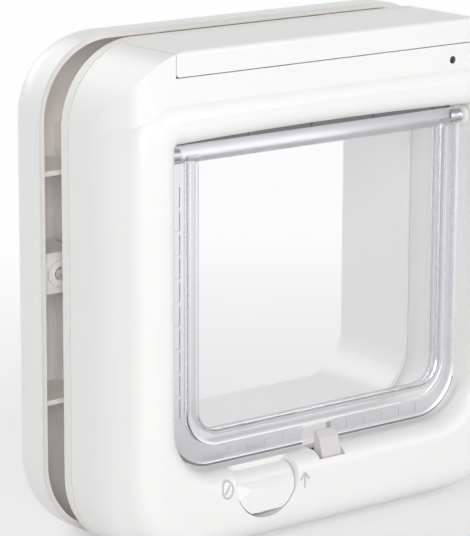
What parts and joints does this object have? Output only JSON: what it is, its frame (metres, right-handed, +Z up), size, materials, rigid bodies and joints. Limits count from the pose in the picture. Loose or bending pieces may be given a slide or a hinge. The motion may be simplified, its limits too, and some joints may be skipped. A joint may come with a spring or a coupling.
{
  "type": "cat flap",
  "caption": "Clear top-hinged cat flap in a rounded white frame, with a rising latch, turning lock dial, battery brow, tunnel sleeve and outdoor frame that clamps a door panel.",
  "frame": {"origin": "on the surface that the unit stands on, under the middle of its width and depth", "axes": "+X to the right seen from indoors, +Y through the door towards outdoors, +Z up"},
  "size_m": [0.21, 0.09, 0.21],
  "materials": {
    "white_plastic": "satin moulded",
    "frame_inner_plastic": "fine moulded",
    "clear_plastic": "clear polished",
    "latch_plastic": "moulded",
    "black_plastic": "moulded",
    "steel": "plated",
    "cell_wrap": "printed sleeve",
    "board_green": "lacquered",
    "coil_wire": "enamelled copper",
    "dark_lens": "clear tinted",
    "brass": "knurled",
    "strip_rubber": "soft extruded"
  },
  "bodies": {
    "frame": {"antenna_coil": "coil_wire", "battery_cell_1": "cell_wrap", "battery_cell_2": "cell_wrap", "battery_cell_3": "cell_wrap", "battery_cell_4": "cell_wrap", "battery_contacts": "steel", "battery_tray": "frame_inner_plastic", "circuit_board": "board_green", "draught_strip": "strip_rubber", "exterior_frame": "white_plastic", "fixing_screws": "steel", "hinge_bush_left": "frame_inner_plastic", "hinge_bush_right": "frame_inner_plastic", "housing_screws": "steel", "interior_back_plate": "frame_inner_plastic", "interior_housing": "white_plastic", "latch_motor": "steel", "motor_bracket": "frame_inner_plastic", "screw_covers": "white_plastic", "screw_inserts": "brass", "sensor_lens": "dark_lens", "status_light": "dark_lens"},
    "flap": {"flap": "clear_plastic", "flap_seal": "strip_rubber", "hinge_pin_left": "steel", "hinge_pin_right": "steel"},
    "latch": {"latch": "latch_plastic"},
    "pinion": {"latch_pinion": "latch_plastic", "motor_shaft": "steel"},
    "dial": {"lock_dial": "white_plastic", "lock_dial_shaft": "frame_inner_plastic", "lock_dial_rear": "frame_inner_plastic"},
    "cover": {"battery_cover": "white_plastic"},
    "button": {"learn_button": "black_plastic"}
  },
  "joints": [
    {"name": "flap_swing", "type": "hinge", "parent": "frame", "child": "flap", "pos_m": [0, -0.032, 0.167], "axis": [1, 0, 0], "range_deg": [-80, 80]},
    {"name": "latch_slide", "type": "slide", "parent": "frame", "child": "latch", "axis": [0, 0, 1], "range_m": [0, 0.006]},
    {"name": "pinion_spin", "type": "hinge", "parent": "frame", "child": "pinion", "pos_m": [0.0123, -0.0305, 0.02], "axis": [0, 1, 0], "range_deg": [0, 71.62]},
    {"name": "dial_turn", "type": "hinge", "parent": "frame", "child": "dial", "pos_m": [-0.0352, -0.0386, 0.0307], "axis": [0, 1, 0], "continuous": true},
    {"name": "cover_lift", "type": "slide", "parent": "frame", "child": "cover", "axis": [0, 0, 1], "range_m": [0, 0.03]},
    {"name": "learn_press", "type": "slide", "parent": "frame", "child": "button", "axis": [0, 0, -1], "range_m": [0, 0.001], "stiffness_N_per_m": 300, "springref_m": -0.002}
  ],
  "couplings": [
    {"joint": "pinion_spin", "follows": "latch_slide", "rad_per_m": 208.33}
  ]
}
